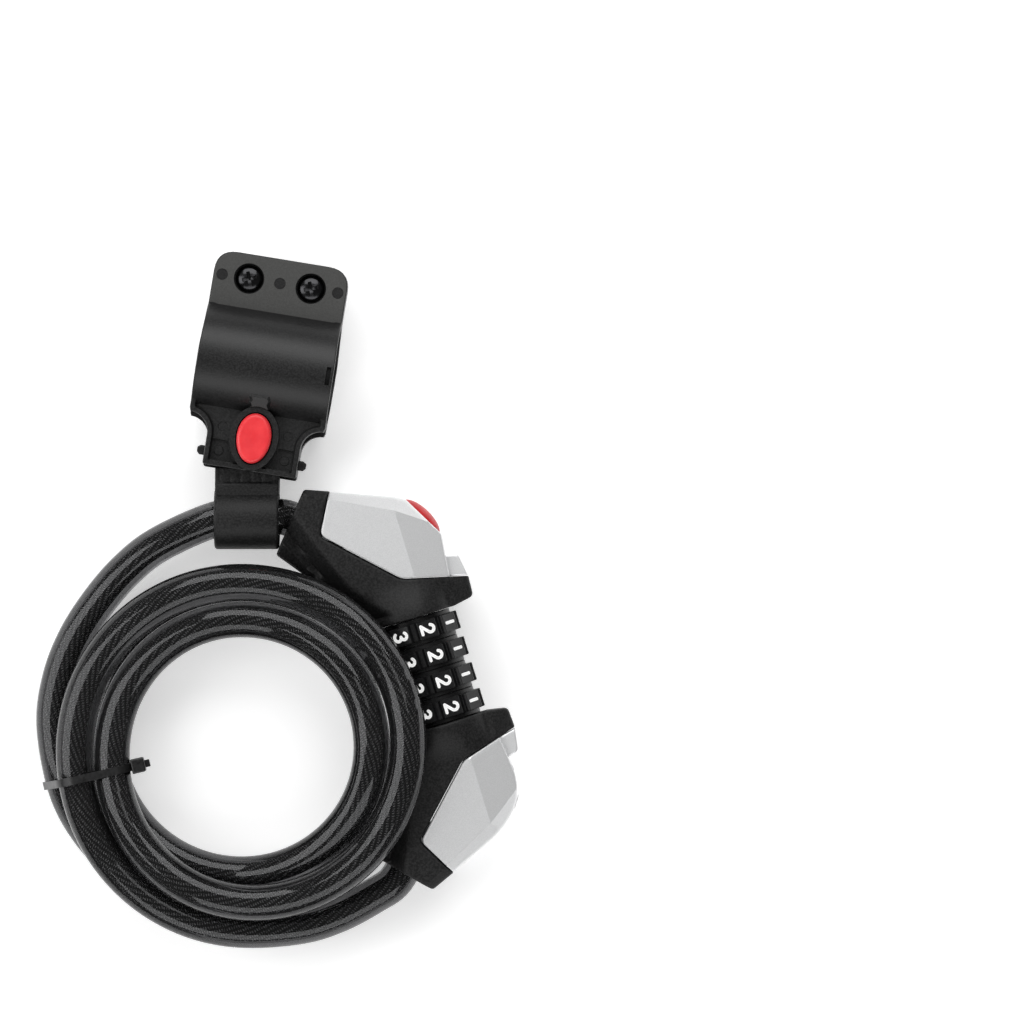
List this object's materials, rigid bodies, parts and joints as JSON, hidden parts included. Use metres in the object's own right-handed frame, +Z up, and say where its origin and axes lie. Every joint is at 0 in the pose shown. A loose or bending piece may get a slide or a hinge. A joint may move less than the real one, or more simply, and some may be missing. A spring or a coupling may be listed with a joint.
{
  "type": "cable lock",
  "caption": "Bicycle cable lock: coiled steel cable, combination dials between two lock bodies, and a quick-release seat post clamp.",
  "frame": {"origin": "bottom centre of the lock head, clip and bracket as they lie flat, without the cable", "axes": "+Z up out of the surface it lies on, +Y from the lock head towards the bracket's flange, +X from the coil towards the dials"},
  "size_m": [0.1588, 0.2267, 0.0429],
  "materials": {
    "black_plastic": "matte, fine spark-eroded grain",
    "silver_paint": "satin silver paint with fine metallic sparkle",
    "red_plastic": "semi-gloss",
    "steel": "zinc plated, satin",
    "black_steel": "blackened, glossy",
    "cable_sheath": "smoky translucent glossy PVC over twisted steel",
    "rubber": "matte",
    "tie_nylon": "smooth nylon"
  },
  "bodies": {
    "upper_body": {"upper_shell": "black_plastic", "upper_cover": "silver_paint", "upper_ferrule": "steel", "upper_ferrule_pin": "steel", "dial_barrel": "steel", "detent_strip": "steel", "coil_front": "cable_sheath", "coil_back": "cable_sheath", "cable_lead": "cable_sheath", "cable_tie": "tie_nylon"},
    "unlock_button": {"unlock_button": "red_plastic"},
    "bolt_body": {"lower_shell": "black_plastic", "lower_cover": "silver_paint", "lower_ferrule": "steel", "lower_ferrule_pin": "steel", "locking_bolt": "steel", "cable_tail": "cable_sheath"},
    "clip": {"cable_clip": "black_plastic"},
    "swivel": {"swivel_block": "black_plastic", "swivel_pin": "steel"},
    "bracket": {"clamp_front": "black_plastic", "liner_front": "rubber", "clamp_screw_left": "black_steel", "clamp_screw_right": "black_steel", "latch_spring": "steel"},
    "release_button": {"release_button": "red_plastic"},
    "clamp_back": {"clamp_back": "black_plastic", "liner_back": "rubber", "clamp_nut_left": "steel", "clamp_nut_right": "steel"},
    "dial_1": {"dial_1": "black_plastic", "code_sleeve_1": "steel"},
    "dial_2": {"dial_2": "black_plastic", "code_sleeve_2": "steel"},
    "dial_3": {"dial_3": "black_plastic", "code_sleeve_3": "steel"},
    "dial_4": {"dial_4": "black_plastic", "code_sleeve_4": "steel"}
  },
  "joints": [
    {"name": "dial_1_turn", "type": "hinge", "parent": "upper_body", "child": "dial_1", "pos_m": [0.01896, -0.02019, 0.0157], "axis": [-0.294, 0.9558, 0], "continuous": true},
    {"name": "dial_2_turn", "type": "hinge", "parent": "upper_body", "child": "dial_2", "pos_m": [0.02155, -0.0286, 0.0157], "axis": [-0.294, 0.9558, 0], "continuous": true},
    {"name": "dial_3_turn", "type": "hinge", "parent": "upper_body", "child": "dial_3", "pos_m": [0.02413, -0.03701, 0.0157], "axis": [-0.294, 0.9558, 0], "continuous": true},
    {"name": "dial_4_turn", "type": "hinge", "parent": "upper_body", "child": "dial_4", "pos_m": [0.02672, -0.04543, 0.0157], "axis": [-0.294, 0.9558, 0], "continuous": true},
    {"name": "bolt_pull", "type": "slide", "parent": "upper_body", "child": "bolt_body", "axis": [0.294, -0.9558, 0], "range_m": [0, 0.042]},
    {"name": "unlock_press", "type": "slide", "parent": "upper_body", "child": "unlock_button", "axis": [-0.6915, -0.7224, 0], "range_m": [0, 0.0018], "stiffness_N_per_m": 300},
    {"name": "clip_turn", "type": "hinge", "parent": "upper_body", "child": "clip", "pos_m": [-0.03558, 0.01689, 0.0182], "axis": [1, 0, 0], "range_deg": [0, 60]},
    {"name": "bracket_swivel", "type": "hinge", "parent": "clip", "child": "swivel", "pos_m": [-0.03376, 0.03783, 0.0182], "axis": [0, 0, 1], "range_deg": [0, 14]},
    {"name": "bracket_release", "type": "slide", "parent": "swivel", "child": "bracket", "axis": [0.1619, 0.9868, 0], "range_m": [0, 0.02]},
    {"name": "release_press", "type": "slide", "parent": "bracket", "child": "release_button", "axis": [0, 0, -1], "range_m": [0, 0.0019], "stiffness_N_per_m": 300},
    {"name": "clamp_open", "type": "slide", "parent": "bracket", "child": "clamp_back", "axis": [0, 0, -1], "range_m": [0, 0.015]}
  ]
}
